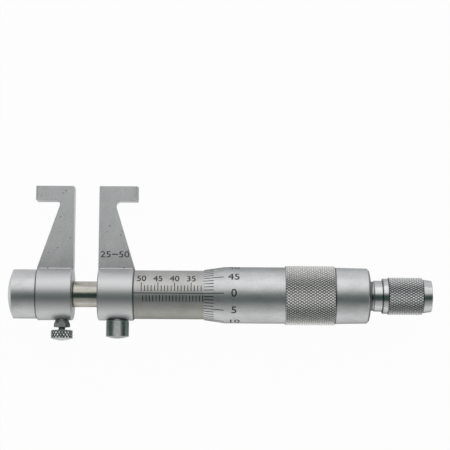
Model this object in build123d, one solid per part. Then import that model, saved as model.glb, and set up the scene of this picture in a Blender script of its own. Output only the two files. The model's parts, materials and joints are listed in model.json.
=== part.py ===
from build123d import *
import math
import os

# Inside micrometer with two jaws, for bores from 25 to 50 mm, set at 31.5 mm.
# It is modelled in the tool's own axes: X runs along the spindle towards the ratchet, Y points up the jaws
# and Z points out of the scale side. X is 0 at the inner face of the fixed jaw's hub, and Y and Z are 0 on
# the spindle's axis. The last section lays the finished tool down on its back, as it rests on a bench.

os.makedirs("parts", exist_ok=True)

# Driving dimensions in mm

# Range, setting and fits
smallest_reading = 25.0
largest_reading = 50.0
reading = 31.5
running_fit = 0.05
seat_fit = 0.02
stop_gap = 0.6

# Jaws with their hubs
hub_radius = 7.95
hub_width = 10.9
hub_edge = 0.3
jaw_reach = 11.9
jaw_top = 33.0
jaw_thickness = 5.0
jaw_root_height = 8.0
fixed_neck = 4.5
sliding_neck = 3.8
tip_height = 4.4
notch_fillet = 1.3
jaw_corner = 0.2
hub_blend = 0.5
insert_thickness = 0.8
insert_height = 3.7
insert_proud = 0.15
face_crown_radius = 10.0

# Guide tube that joins the sliding jaw to the screw
tube_radius = 3.95
tube_bore = 2.5
tube_seat_depth = 8.6
tube_overrun = 20.1
keyway_width = 2.06
keyway_depth = 1.0

# Inner barrel with its split nut, sleeve and adjusting nut
barrel_press_radius = 5.2
barrel_radius = 6.6
sleeve_wall = 0.79
sleeve_edge = 0.2
sleeve_end_gap = 1.25
barrel_thread_step = 0.9
barrel_thread_taper = 0.3
barrel_thread_length = 7.5
barrel_thread_runout = 1.5
nut_length = 12.0
nut_slot_width = 0.6
nut_slot_start = 1.0
nut_slots = 3
adjuster_wall = 1.18
adjuster_width = 4.6
spanner_holes = 4
spanner_hole_radius = 0.6
spanner_hole_floor = 0.3

# Spindle
spindle_radius = 2.45
screw_radius = 3.2
screw_relief_depth = 0.4
screw_relief_width = 1.5
collar_radius = 3.7
collar_width = 1.0
end_thread_radius = 2.0
end_nut_flats = 7.0
end_nut_width = 2.6
end_thread_overrun = 0.4
washer_radius = 4.6
washer_thickness = 0.8
tail_radius = 4.4
tail_small_radius = 4.0

# Thimble
thimble_edge_wall = 0.19
thimble_wall = 1.12
thimble_back_drop = 0.2
bevel_length = 6.55
first_mark_offset = 2.45
knurl_height = 0.5
knurl_start = 24.85
knurl_length = 15.2
knurl_edge = 0.3
thimble_length = 49.75
thimble_end_chamfer = 0.8
thimble_end_chamfer_depth = 1.2
thimble_end_rise = 0.5
thimble_wall_depth = 7.6

# Ratchet stop
ratchet_neck_radius = 4.45
ratchet_neck_width = 0.7
ratchet_ring_radius = 4.7
ratchet_ring_width = 2.7
ratchet_ring_edge = 0.3
ratchet_spigot_radius = 2.4
ratchet_spigot_length = 5.0
knob_collar_radius = 5.33
knob_collar_width = 1.7
knob_grip_radius = 5.73
knob_grip_length = 10.3
knob_grip_edge = 0.25
knob_nose_radius = 5.15
knob_nose_end_radius = 4.72
knob_nose_length = 3.0
knob_end_rise = 0.225
knob_end_land = 0.5
knob_bore = 4.1
knob_bore_depth = 8.0
axle_radius = 1.3
axle_head_radius = 2.3
axle_head_width = 1.2
crown_teeth = 24
crown_tooth_height = 0.45
crown_inner_radius = 2.0
crown_outer_radius = 3.7
crown_fit = 0.04
crown_root = 0.3
pawl_thickness = 2.0
pawl_lug_width = 1.4
pawl_lug_height = 0.6
pawl_lug_fit = 0.2
ratchet_wire = 0.5
ratchet_turns = 5

# End cap over the spindle's end
cap_radius = 7.5
cap_length = 7.2
cap_rise = 1.7
cap_spigot_radius = 6.2
cap_spigot_length = 1.6
cap_bore = 5.2
cap_bore_depth = 4.6

# Guide key and its housing under the fixed jaw
key_offset = 5.9
key_radius = 1.45
key_nose_width = 2.0
key_length = 5.2
housing_radius = 3.48
housing_height = 4.8
housing_rise = 0.65
housing_edge = 0.25
housing_spigot_radius = 2.4
housing_spigot_length = 2.4
housing_bore_depth = 6.2
key_spring_wire = 0.4
key_spring_turns = 4

# Clamp under the sliding jaw
clamp_offset = 3.3
clamp_pad_radius = 1.0
clamp_pad_length = 1.9
clamp_pad_edge = 0.15
clamp_closing = 0.3
clamp_shank_radius = 1.05
clamp_shank_edge = 0.2
bush_flats = 4.3
bush_height = 2.1
bush_edge = 0.45
bush_edge_height = 1.2
bush_spigot_radius = 1.9
bush_spigot_length = 3.2
clamp_neck = 0.75
clamp_head_radius = 3.42
clamp_head_height = 2.7
clamp_head_edge = 0.35
clamp_head_rise = 0.6

# Radii that follow from the sizes above
sleeve_bore = barrel_radius + seat_fit
sleeve_radius = sleeve_bore + sleeve_wall
barrel_thread_radius = barrel_radius - barrel_thread_step
adjuster_bore = barrel_thread_radius + seat_fit
adjuster_radius = adjuster_bore + adjuster_wall
thimble_bore = sleeve_radius + running_fit
thimble_edge_radius = thimble_bore + thimble_edge_wall
thimble_radius = thimble_bore + thimble_wall
thimble_back_radius = thimble_radius - thimble_back_drop
knurl_radius = thimble_radius + knurl_height
hub_bottom = hub_radius + seat_fit

# Places along the spindle that follow from the sizes above
jaw_gap = reading - 2 * jaw_reach
closing_travel = reading - smallest_reading
opening_travel = largest_reading - reading
sliding_face = -jaw_gap
sliding_back = sliding_face - hub_width
tube_left = sliding_back + hub_width - tube_seat_depth
tube_right = hub_width + tube_overrun
key_x = key_offset
clamp_x = sliding_face - clamp_offset
collar_right = tube_right + running_fit + collar_width
nut_left = collar_right + closing_travel + stop_gap
nut_right = nut_left + nut_length
barrel_thread_left = nut_right - barrel_thread_length
adjuster_left = barrel_thread_left + barrel_thread_runout
sleeve_right = adjuster_left - sleeve_end_gap
screw_right = nut_right + opening_travel
thimble_left = hub_width + first_mark_offset + largest_reading - reading
thimble_right = thimble_left + thimble_length
wall_left = thimble_right - thimble_wall_depth
thimble_end = thimble_right + thimble_end_chamfer + thimble_end_rise
ring_left = thimble_end + ratchet_neck_width
ring_right = ring_left + ratchet_ring_width
knob_left = ring_right + running_fit
grip_left = knob_left + knob_collar_width
grip_right = grip_left + knob_grip_length
knob_right = grip_right + knob_nose_length


# Shapes that several pieces share

from_base = Align.CENTER, Align.CENTER, Align.MIN


def turned(*outline):
    """A solid turned about the spindle's axis from the (x, radius) points of its section."""
    return revolve(make_face(Polyline(*outline, close=True)), Axis.X)


def ball_radius(radius, rise):
    """The radius of the sphere that makes a dome of this edge radius and rise."""
    return (radius ** 2 + rise ** 2) / (2 * abs(rise))


def dome(x, radius, rise):
    """The half arc of a spherical end, from (x, radius) to the axis."""
    ball = ball_radius(radius, rise)
    middle = abs(rise) - ball + math.sqrt(ball ** 2 - radius ** 2 / 4)
    return ThreePointArc((x, radius), (x + math.copysign(middle, rise), radius / 2), (x + rise, 0))


def rod(x, radius, length):
    """A plain round bar along the spindle's axis."""
    return Pos(x, 0, 0) * Rot(0, 90, 0) * Cylinder(radius, length, align=from_base)


def post(x, top, radius, length):
    """A plain round bar square to the spindle, which starts top below the axis and goes on downwards."""
    return Pos(x, -top, 0) * Rot(90, 0, 0) * Cylinder(radius, length, align=from_base)


def spring(radius, wire, length, turns):
    """A compression spring along +Z with its wire's ends half a wire inside its length."""
    path = Helix(pitch=(length - wire) / turns, height=length - wire, radius=radius)
    section = Plane(origin=path @ 0, z_dir=path % 0) * Circle(wire / 2)
    return Pos(0, 0, wire / 2) * sweep(section, path=path, is_frenet=True)


# Jaws and their carbide tips

def jaw_blank(neck):
    """A hub and its flat jaw, with the inner face at X 0 and the measuring end towards +X."""
    hub = chamfer(rod(0, hub_radius, hub_width).edges(), hub_edge)
    tip_bottom = jaw_top - tip_height
    outline = make_face(Polyline(
        (0, 0),
        (0, jaw_top),
        (jaw_reach - insert_proud, jaw_top),
        (jaw_reach - insert_proud, tip_bottom),
        (neck, tip_bottom),
        (hub_width, jaw_root_height),
        (hub_width, 0),
        close=True,
    ))
    corners = outline.vertices()
    outline = fillet(corners.sort_by_distance((neck, tip_bottom))[0], notch_fillet)
    outline = chamfer(outline.vertices().sort_by_distance((0, jaw_top))[0], jaw_corner)
    outline = chamfer(outline.vertices().sort_by_distance((jaw_reach, tip_bottom))[0], jaw_corner)
    plate = extrude(outline, jaw_thickness / 2, both=True)
    seat = tip_block(insert_thickness + seat_fit, insert_height + seat_fit)
    blank = hub + (plate - seat)
    meeting = math.sqrt(hub_radius ** 2 - (jaw_thickness / 2) ** 2)
    joints = [
        edge for edge in blank.edges().filter_by(Axis.X)
        if abs(edge.center().Y - meeting) < 0.01 and abs(abs(edge.center().Z) - jaw_thickness / 2) < 0.01
    ]
    return fillet(joints, hub_blend)


def tip_block(thickness, height):
    """The space of the carbide insert at the outer top corner of a jaw."""
    width = Align.MAX, Align.MAX, Align.CENTER
    return Pos(jaw_reach, jaw_top, 0) * Box(thickness, height, jaw_thickness, align=width)


def jaw_insert():
    """The carbide insert, crowned across its width so that it meets a bore along one line."""
    crown = Pos(jaw_reach - face_crown_radius, jaw_top, 0) * Rot(90, 0, 0) * Cylinder(
        face_crown_radius, insert_height, align=from_base
    )
    block = tip_block(insert_thickness, insert_height) & crown
    top_edge = block.edges().sort_by_distance((jaw_reach, jaw_top, 0))[0]
    return chamfer(top_edge, jaw_corner / 2)


def sliding(piece):
    """The same piece turned to face the other way, on the sliding side."""
    return Pos(sliding_face, 0, 0) * mirror(piece, Plane.YZ)


def fixed_jaw():
    bore = rod(0, barrel_press_radius + seat_fit, hub_width)
    key_hole = post(key_x, barrel_press_radius / 2, housing_spigot_radius + seat_fit, hub_radius)
    return jaw_blank(fixed_neck) - bore - key_hole


def sliding_jaw():
    bore = rod(sliding_back, tube_radius + seat_fit, hub_width)
    cap_seat = rod(sliding_back, cap_spigot_radius + seat_fit, hub_width - tube_seat_depth)
    clamp_hole = post(clamp_x, tube_radius / 2, bush_spigot_radius + seat_fit, hub_radius)
    return sliding(jaw_blank(sliding_neck)) - bore - cap_seat - clamp_hole


# Fixed side: barrel, sleeve, adjusting nut, guide key

def inner_barrel():
    body = turned(
        (0, tube_radius + running_fit),
        (0, barrel_press_radius),
        (hub_width, barrel_press_radius),
        (hub_width, barrel_radius),
        (barrel_thread_left, barrel_radius),
        (barrel_thread_left, barrel_thread_radius),
        (nut_right, barrel_thread_radius - barrel_thread_taper),
        (nut_right, screw_radius + running_fit),
        (nut_left, screw_radius + running_fit),
        (nut_left, tube_radius + running_fit),
    )
    key_hole = post(key_x, tube_radius / 2, key_radius + running_fit, hub_radius)
    slot = Pos(nut_left + nut_slot_start, 0, 0) * Box(
        nut_length, nut_slot_width, 2 * barrel_radius, align=(Align.MIN, Align.CENTER, Align.MIN)
    )
    slots = [Rot(360 / nut_slots * n, 0, 0) * slot for n in range(nut_slots)]
    return body - key_hole - slots


def sleeve():
    body = turned(
        (hub_width, sleeve_bore),
        (hub_width, sleeve_radius),
        (sleeve_right, sleeve_radius),
        (sleeve_right, sleeve_bore),
    )
    return chamfer(body.edges().sort_by(Axis.X)[-1], sleeve_edge)


def adjusting_nut():
    """A round nut that closes the split nut to take up wear, with holes for a pin spanner."""
    adjuster_right = adjuster_left + adjuster_width
    body = turned(
        (adjuster_left, adjuster_bore),
        (adjuster_left, adjuster_radius),
        (adjuster_right, adjuster_radius),
        (adjuster_right, adjuster_bore),
    )
    middle = Pos(adjuster_left + adjuster_width / 2, adjuster_bore + spanner_hole_floor, 0)
    hole = middle * Rot(-90, 0, 0) * Cylinder(spanner_hole_radius, adjuster_wall, align=from_base)
    return body - [Rot(360 / spanner_holes * n, 0, 0) * hole for n in range(spanner_holes)]


def guide_key():
    """A pin with a flat-sided nose that runs in the tube's keyway and keeps the jaws in line."""
    nose_bottom = tube_radius - keyway_depth + running_fit
    pin = post(key_x, nose_bottom, key_radius, key_length)
    flats = Pos(key_x, -nose_bottom, 0) * Box(
        4 * key_radius, 2 * (tube_radius + running_fit - nose_bottom), 4 * key_radius
    )
    nose = Pos(key_x, -nose_bottom, 0) * Box(
        2 * key_radius, 2 * (tube_radius + running_fit - nose_bottom), key_nose_width
    )
    return pin - (flats - nose)


def key_housing():
    """The smooth domed knob that screws into the hub and holds the key's spring."""
    arc = dome(hub_bottom + housing_height, housing_radius, housing_rise)
    outline = make_face([
        Polyline(
            (hub_bottom + housing_height, housing_radius),
            (hub_bottom + housing_edge, housing_radius),
            (hub_bottom, housing_radius - housing_edge),
            (hub_bottom, housing_spigot_radius),
            (hub_bottom - housing_spigot_length, housing_spigot_radius),
            (hub_bottom - housing_spigot_length, 0),
            (hub_bottom + housing_height + housing_rise, 0),
        ),
        arc,
    ])
    body = Pos(key_x, 0, 0) * Rot(0, 0, -90) * revolve(outline, Axis.X)
    bore = post(key_x, hub_bottom - housing_spigot_length, key_radius + running_fit, housing_bore_depth)
    return body - bore


def key_spring():
    top = tube_radius - keyway_depth + running_fit + key_length + seat_fit
    bottom = hub_bottom - housing_spigot_length + housing_bore_depth - seat_fit
    coil = spring(key_radius - key_spring_wire, key_spring_wire, bottom - top, key_spring_turns)
    return Pos(key_x, -top, 0) * Rot(90, 0, 0) * coil


# Sliding side: guide tube, washer, end cap, clamp bush

def guide_tube():
    body = turned(
        (tube_left, tube_bore),
        (tube_left, tube_radius),
        (tube_right, tube_radius),
        (tube_right, tube_bore),
    )
    keyway_left = key_x - closing_travel - key_radius - stop_gap / 2
    keyway_right = key_x + opening_travel + key_radius + stop_gap / 2
    keyway = Pos(keyway_left, keyway_depth - tube_radius, 0) * Box(
        keyway_right - keyway_left, tube_radius, keyway_width, align=(Align.MIN, Align.MAX, Align.CENTER)
    )
    pad_hole = post(clamp_x, tube_bore / 2, clamp_pad_radius + running_fit, tube_radius)
    return body - keyway - pad_hole


def thrust_washer():
    right = tube_left - seat_fit
    return turned(
        (right, spindle_radius + running_fit),
        (right, washer_radius),
        (right - washer_thickness, washer_radius),
        (right - washer_thickness, spindle_radius + running_fit),
    )


def end_cap():
    left = sliding_back - cap_length
    spigot_right = sliding_back + cap_spigot_length
    outline = make_face([
        Polyline(
            (left, cap_radius),
            (sliding_back, cap_radius),
            (sliding_back, cap_spigot_radius),
            (spigot_right, cap_spigot_radius),
            (spigot_right, cap_bore),
            (sliding_back - cap_bore_depth, cap_bore),
            (sliding_back - cap_bore_depth, 0),
            (left - cap_rise, 0),
        ),
        dome(left, cap_radius, -cap_rise),
    ])
    return revolve(outline, Axis.X)


def clamp_bush():
    """A hexagon bush screwed into the hub, which guides the clamp screw and its pad."""
    height = bush_height
    hexagon = extrude(RegularPolygon(bush_flats / 2, 6, major_radius=False), height)
    corner = bush_flats / math.sqrt(3)
    turned_head = revolve(make_face(Polyline(
        (0, 0, 0), (corner - bush_edge, 0, 0), (corner, 0, bush_edge_height),
        (corner, 0, height), (0, 0, height), close=True,
    )), Axis.Z)
    spigot = Pos(0, 0, -bush_spigot_length) * Cylinder(
        bush_spigot_radius, bush_spigot_length, align=from_base
    )
    bore = Pos(0, 0, -bush_spigot_length) * Cylinder(
        clamp_shank_radius + running_fit, bush_spigot_length + height, align=from_base
    )
    return Pos(clamp_x, -hub_bottom, 0) * Rot(90, 0, 0) * ((hexagon & turned_head) + spigot - bore)


# Clamp: brass pad and knurled screw

def clamp_pad():
    pad = post(clamp_x, spindle_radius + clamp_closing, clamp_pad_radius, clamp_pad_length)
    return chamfer(pad.edges(), clamp_pad_edge)


def clamp_screw():
    tip = spindle_radius + clamp_closing + clamp_pad_length + running_fit
    head_top = hub_bottom + bush_height + clamp_neck
    head_bottom = head_top + clamp_head_height
    outline = make_face([
        Polyline(
            (head_bottom, clamp_head_radius - clamp_head_edge),
            (head_bottom - clamp_head_edge, clamp_head_radius),
            (head_top + clamp_head_edge, clamp_head_radius),
            (head_top, clamp_head_radius - clamp_head_edge),
            (head_top, clamp_shank_radius),
            (tip + clamp_shank_edge, clamp_shank_radius),
            (tip, clamp_shank_radius - clamp_shank_edge),
            (tip, 0),
            (head_bottom + clamp_head_rise, 0),
        ),
        dome(head_bottom, clamp_head_radius - clamp_head_edge, clamp_head_rise),
    ])
    return Pos(clamp_x, 0, 0) * Rot(0, 0, -90) * revolve(outline, Axis.X)


# Spindle with what turns with it

def spindle():
    nut_face = tube_left - 2 * seat_fit - washer_thickness
    end_left = nut_face - end_nut_width - end_thread_overrun
    collar_left = tube_right + running_fit
    return turned(
        (end_left, 0),
        (end_left, end_thread_radius),
        (nut_face, end_thread_radius),
        (nut_face, spindle_radius),
        (collar_left, spindle_radius),
        (collar_left, collar_radius),
        (collar_right, collar_radius),
        (collar_right, screw_radius),
        (screw_right, screw_radius),
        (screw_right, screw_radius - screw_relief_depth),
        (screw_right + screw_relief_width, screw_radius - screw_relief_depth),
        (screw_right + screw_relief_width, tail_radius),
        (wall_left, tail_radius),
        (thimble_right, tail_small_radius),
        (thimble_right, ratchet_spigot_radius + seat_fit),
        (thimble_right - ratchet_spigot_length, ratchet_spigot_radius + seat_fit),
        (thimble_right - ratchet_spigot_length, 0),
    )


def spindle_end_nut():
    right = tube_left - 2 * seat_fit - washer_thickness
    hexagon = extrude(RegularPolygon(end_nut_flats / 2, 6, major_radius=False), end_nut_width)
    hole = Cylinder(end_thread_radius + seat_fit, 4 * end_nut_width)
    return Pos(right, 0, 0) * Rot(0, -90, 0) * (hexagon - hole)


def thimble():
    grip_start = thimble_left + knurl_start
    grip_end = grip_start + knurl_length
    return turned(
        (thimble_left, thimble_bore),
        (thimble_left, thimble_edge_radius),
        (thimble_left + bevel_length, thimble_radius),
        (grip_start, thimble_radius),
        (grip_start + knurl_edge, knurl_radius),
        (grip_end - knurl_edge, knurl_radius),
        (grip_end, thimble_radius),
        (thimble_right, thimble_back_radius),
        (thimble_right + thimble_end_chamfer, thimble_back_radius - thimble_end_chamfer_depth),
        (thimble_end, ratchet_ring_radius),
        (thimble_end, ratchet_spigot_radius + seat_fit),
        (thimble_right + seat_fit, ratchet_spigot_radius + seat_fit),
        (thimble_right + seat_fit, tail_small_radius + seat_fit),
        (wall_left, tail_radius + seat_fit),
        (wall_left, thimble_bore),
    )


def crown_ring(fit):
    """The teeth of one ratchet ring, pointing to +X, each ramped on one side and steep on the other."""
    pitch = 360 / crown_teeth
    sections = []
    for radius in (crown_inner_radius, crown_outer_radius):
        half_width = math.pi * radius / crown_teeth - fit
        outline = Polyline(
            (-crown_root, half_width),
            (crown_tooth_height - fit, half_width),
            (0, -half_width),
            (-crown_root, -half_width),
            close=True,
        )
        side_on = Plane(origin=(0, radius, 0), x_dir=(1, 0, 0), z_dir=(0, 1, 0))
        sections.append(side_on * make_face(outline))
    tooth = loft(sections, ruled=True)
    return [Rot(pitch * n, 0, 0) * tooth for n in range(crown_teeth)]


def ratchet_base():
    """The stub that clamps the thimble on the spindle's taper and carries the fixed crown teeth."""
    body = turned(
        (thimble_right - ratchet_spigot_length + seat_fit, axle_radius + seat_fit),
        (thimble_right - ratchet_spigot_length + seat_fit, ratchet_spigot_radius),
        (thimble_end + seat_fit, ratchet_spigot_radius),
        (thimble_end + seat_fit, ratchet_neck_radius),
        (ring_left, ratchet_neck_radius),
        (ring_left + ratchet_ring_edge, ratchet_ring_radius),
        (ring_right, ratchet_ring_radius),
        (ring_right, axle_radius + seat_fit),
    )
    teeth = [Pos(ring_right, 0, 0) * tooth for tooth in crown_ring(0)]
    return body + teeth


def ratchet_axle():
    left = thimble_right - ratchet_spigot_length + seat_fit
    head_left = knob_right - axle_head_width
    return turned(
        (left, 0),
        (left, axle_radius),
        (head_left, axle_radius),
        (head_left, axle_head_radius),
        (knob_right, axle_head_radius),
        (knob_right, 0),
    )


# Ratchet knob with its sprung pawl ring

def ratchet_knob():
    web_left = knob_left + knob_bore_depth
    head_left = knob_right - axle_head_width - running_fit
    body = turned(
        (knob_left, knob_bore),
        (knob_left, knob_collar_radius),
        (grip_left, knob_collar_radius),
        (grip_left + knob_grip_edge, knob_grip_radius),
        (grip_right, knob_grip_radius),
        (grip_right + knob_grip_edge, knob_nose_radius),
        (knob_right, knob_nose_end_radius),
        (knob_right + knob_end_rise, axle_head_radius + running_fit + knob_end_land),
        (knob_right + knob_end_rise, axle_head_radius + running_fit),
        (head_left, axle_head_radius + running_fit),
        (head_left, axle_radius + running_fit),
        (web_left, axle_radius + running_fit),
        (web_left, knob_bore),
    )
    groove_height = knob_bore + pawl_lug_height + pawl_lug_fit
    groove_width = pawl_lug_width + 2 * running_fit
    along_bore = Align.MIN, Align.CENTER, Align.CENTER
    groove = Pos(knob_left, 0, 0) * Box(knob_bore_depth, 2 * groove_height, groove_width, align=along_bore)
    return body - groove


def ratchet_pawl():
    """The toothed ring that the spring presses on the fixed teeth, keyed to the knob by two lugs."""
    tooth_side = ring_right + crown_tooth_height + crown_fit
    body = turned(
        (tooth_side, axle_radius + running_fit),
        (tooth_side, knob_bore - running_fit),
        (tooth_side + pawl_thickness, knob_bore - running_fit),
        (tooth_side + pawl_thickness, axle_radius + running_fit),
    )
    along_bore = Align.MIN, Align.CENTER, Align.CENTER
    lug_height = knob_bore + pawl_lug_height
    lugs = Pos(tooth_side, 0, 0) * Box(pawl_thickness, 2 * lug_height, pawl_lug_width, align=along_bore)
    bore = rod(ring_right, axle_radius + running_fit, 2 * pawl_thickness)
    # Each tooth points back into the gap that two fixed teeth leave between them.
    teeth = [
        Pos(tooth_side, 0, 0) * Rot(0, 0, 180) * tooth
        for tooth in crown_ring(crown_fit)
    ]
    return body + lugs + teeth - bore


def ratchet_spring():
    left = ring_right + crown_tooth_height + crown_fit + pawl_thickness + seat_fit
    right = knob_left + knob_bore_depth - seat_fit
    coil = spring((axle_radius + knob_bore) / 2, ratchet_wire, right - left, ratchet_turns)
    return Pos(left, 0, 0) * Rot(0, 90, 0) * coil


# Laying the tool down

# The jaws' back edges come down to the level of the hubs' undersides, and the thimble's grip is lowest.
rest_roll = math.degrees(
    math.asin(hub_radius / math.hypot(jaw_top, jaw_thickness / 2)) - math.atan(jaw_thickness / 2 / jaw_top)
)
roll = math.radians(rest_roll)
clamp_end = hub_bottom + bush_height + clamp_neck + clamp_head_height + clamp_head_rise
top_edge = jaw_top * math.cos(roll) + jaw_thickness / 2 * math.sin(roll)
end_ball = ball_radius(clamp_head_radius - clamp_head_edge, clamp_head_rise)
bottom_edge = -(clamp_end - end_ball) * math.cos(roll) - end_ball
left_end = sliding_back - cap_length - cap_rise
right_end = knob_right + knob_end_rise
middle = Vector((left_end + right_end) / 2, (top_edge + bottom_edge) / 2, 0)
laid_down = Pos(-middle.X, -middle.Y, knurl_radius) * Rot(-rest_roll, 0, 0)

pieces = {
    "fixed_jaw": fixed_jaw(),
    "fixed_jaw_tip": jaw_insert(),
    "inner_barrel": inner_barrel(),
    "sleeve": sleeve(),
    "adjusting_nut": adjusting_nut(),
    "guide_key": guide_key(),
    "key_spring": key_spring(),
    "key_housing": key_housing(),
    "sliding_jaw": sliding_jaw(),
    "sliding_jaw_tip": sliding(jaw_insert()),
    "guide_tube": guide_tube(),
    "thrust_washer": thrust_washer(),
    "end_cap": end_cap(),
    "clamp_bush": clamp_bush(),
    "clamp_pad": clamp_pad(),
    "clamp_screw": clamp_screw(),
    "spindle": spindle(),
    "spindle_end_nut": spindle_end_nut(),
    "thimble": thimble(),
    "ratchet_base": ratchet_base(),
    "ratchet_axle": ratchet_axle(),
    "ratchet_knob": ratchet_knob(),
    "ratchet_pawl": ratchet_pawl(),
    "ratchet_spring": ratchet_spring(),
}

for name, piece in pieces.items():
    export_step(laid_down * piece, f"parts/{name}.step")
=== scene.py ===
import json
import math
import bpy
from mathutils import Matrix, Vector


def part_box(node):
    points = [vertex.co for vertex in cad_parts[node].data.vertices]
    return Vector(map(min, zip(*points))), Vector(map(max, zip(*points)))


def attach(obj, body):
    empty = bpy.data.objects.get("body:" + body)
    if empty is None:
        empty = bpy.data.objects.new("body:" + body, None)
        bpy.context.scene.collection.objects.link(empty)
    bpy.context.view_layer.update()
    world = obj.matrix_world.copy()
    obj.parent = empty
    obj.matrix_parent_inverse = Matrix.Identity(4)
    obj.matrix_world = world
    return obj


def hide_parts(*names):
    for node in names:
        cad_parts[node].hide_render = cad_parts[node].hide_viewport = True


bl_info = {
    "name": "Inside Micrometer",
    "version": (1, 0, 0),
    "blender": (4, 5, 0),
    "location": "3D View > Sidebar > Micrometer",
    "description": "Dresses an inside micrometer with knurls, scales, numbers and metal finishes",
    "category": "Add Mesh",
}

import bpy
from mathutils import Matrix, Vector

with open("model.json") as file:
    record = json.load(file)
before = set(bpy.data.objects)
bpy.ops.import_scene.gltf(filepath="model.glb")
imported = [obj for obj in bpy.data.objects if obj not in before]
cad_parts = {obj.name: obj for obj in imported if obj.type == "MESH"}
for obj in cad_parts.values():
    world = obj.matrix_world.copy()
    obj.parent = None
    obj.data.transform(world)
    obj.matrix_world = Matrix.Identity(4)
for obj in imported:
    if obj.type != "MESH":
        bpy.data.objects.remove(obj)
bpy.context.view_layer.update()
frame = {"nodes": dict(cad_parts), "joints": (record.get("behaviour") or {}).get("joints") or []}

# The tool lies rolled back on the bench. Its pieces are modelled in millimetres along its own axes: X runs
# along the spindle towards the ratchet, Y up the jaws and Z out of the scale side. The axes meet in the
# middle of the spindle, at the inner face of the fixed hub.

MM = 0.001


def tool_place():
    """The matrix that lays a piece modelled along the tool's own axes in its place."""
    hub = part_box("fixed_jaw")[0]
    low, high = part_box("thimble")
    clamp = next(joint for joint in frame["joints"] if joint["name"] == "clamp_pad_slide")
    up = Vector(clamp["axis"]).normalized()
    along = Vector((1, 0, 0))
    front = along.cross(up)
    place = Matrix((along, up, front)).transposed().to_4x4()
    place.translation = (hub[0], (low[1] + high[1]) / 2, (low[2] + high[2]) / 2)
    return place


TOOL = tool_place()
TOOL_MM = TOOL @ Matrix.Scale(MM, 4)

# Places and sizes that several steps share, in millimetres

CAP_JOINT = -18.6
SLEEVE_JOINT = 10.9
CLAMP_PLACE = -11.0
THIMBLE_GRIP = 9.07
KNOB_GRIP = 5.72
CLAMP_GRIP = 3.42
INK_LIFT = 0.01


# Settings that a user would change

class ScaleSettings(bpy.types.PropertyGroup):
    line_width: bpy.props.FloatProperty(
        name="Line width", description="Width of a scale line in mm", default=0.24, min=0.05)
    sleeve_radius: bpy.props.FloatProperty(
        name="Sleeve radius", description="Radius of the sleeve in mm", default=7.41)
    first_line: bpy.props.FloatProperty(
        name="First line", description="Place of the 50 mm line in mm", default=13.35)
    divisions: bpy.props.IntProperty(
        name="Divisions", description="Divisions round the thimble", default=50, min=10)
    sleeve_figures: bpy.props.FloatProperty(
        name="Sleeve figures", description="Height of the sleeve's figures in mm", default=2.36)
    thimble_figures: bpy.props.FloatProperty(
        name="Thimble figures", description="Height of the thimble's figures in mm", default=2.5)
    range_figures: bpy.props.FloatProperty(
        name="Range figures", description="Height of the range mark's figures in mm", default=1.95)
    ink: bpy.props.FloatVectorProperty(
        name="Ink", description="Colour of the lines and figures", subtype="COLOR", size=4,
        default=(0.012, 0.014, 0.012, 1))


class KnurlSettings(bpy.types.PropertyGroup):
    thimble_diamonds: bpy.props.IntProperty(
        name="Thimble diamonds", description="Diamonds round the thimble's knurl", default=67, min=8)
    thimble_depth: bpy.props.FloatProperty(
        name="Thimble depth", description="Depth of the thimble's knurl in mm", default=0.26)
    knob_diamonds: bpy.props.IntProperty(
        name="Knob diamonds", description="Diamonds round the ratchet knob", default=44, min=8)
    knob_depth: bpy.props.FloatProperty(
        name="Knob depth", description="Depth of the knob's knurl in mm", default=0.25)
    clamp_diamonds: bpy.props.IntProperty(
        name="Clamp diamonds", description="Diamonds round the clamp screw", default=20, min=8)
    clamp_depth: bpy.props.FloatProperty(
        name="Clamp depth", description="Depth of the clamp screw's knurl in mm", default=0.3)


class FinishSettings(bpy.types.PropertyGroup):
    chrome: bpy.props.FloatVectorProperty(
        name="Satin chrome", description="Colour of the hubs, thimble and cap", subtype="COLOR", size=4,
        default=(0.6, 0.605, 0.61, 1))
    knurl: bpy.props.FloatVectorProperty(
        name="Knurl", description="Colour of the thimble's knurl", subtype="COLOR", size=4,
        default=(0.575, 0.57, 0.556, 1))
    sleeve: bpy.props.FloatVectorProperty(
        name="Sleeve chrome", description="Colour of the sleeve", subtype="COLOR", size=4,
        default=(0.515, 0.508, 0.502, 1))
    jaw: bpy.props.FloatVectorProperty(
        name="Jaw steel", description="Colour of the flat jaws", subtype="COLOR", size=4,
        default=(0.728, 0.719, 0.732, 1))
    ground: bpy.props.FloatVectorProperty(
        name="Ground steel", description="Colour of ground steel", subtype="COLOR", size=4,
        default=(0.45, 0.435, 0.395, 1))
    dark: bpy.props.FloatVectorProperty(
        name="Dark steel", description="Colour of the clamp and the key housing", subtype="COLOR", size=4,
        default=(0.6, 0.61, 0.605, 1))


class StudioSettings(bpy.types.PropertyGroup):
    floor: bpy.props.FloatVectorProperty(
        name="Floor", description="Colour of the floor", subtype="COLOR", size=4, default=(0.9, 0.9, 0.9, 1))
    softbox: bpy.props.FloatProperty(
        name="Softbox", description="Power of the large softbox", default=0.95, min=0)
    fill: bpy.props.FloatProperty(
        name="Fill", description="Power of the low softbox on the near side", default=0.1, min=0)
    world: bpy.props.FloatProperty(
        name="World", description="Strength of the light tent", default=1.0, min=0)
    camera_distance: bpy.props.FloatProperty(
        name="Camera distance", description="From the camera to the spindle's axis", default=0.47,
        unit="LENGTH", subtype="DISTANCE")


# Modelling steps that several pieces share

def clear():
    """Selects nothing, so that the next step acts on the new piece alone."""
    if bpy.context.object and bpy.context.object.mode != "OBJECT":
        bpy.ops.object.mode_set(mode="OBJECT")
    bpy.ops.object.select_all(action="DESELECT")


def grab(*pieces):
    """Selects just these pieces and makes the first one active."""
    clear()
    for piece in pieces:
        piece.select_set(True)
    bpy.context.view_layer.objects.active = pieces[0]


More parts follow.
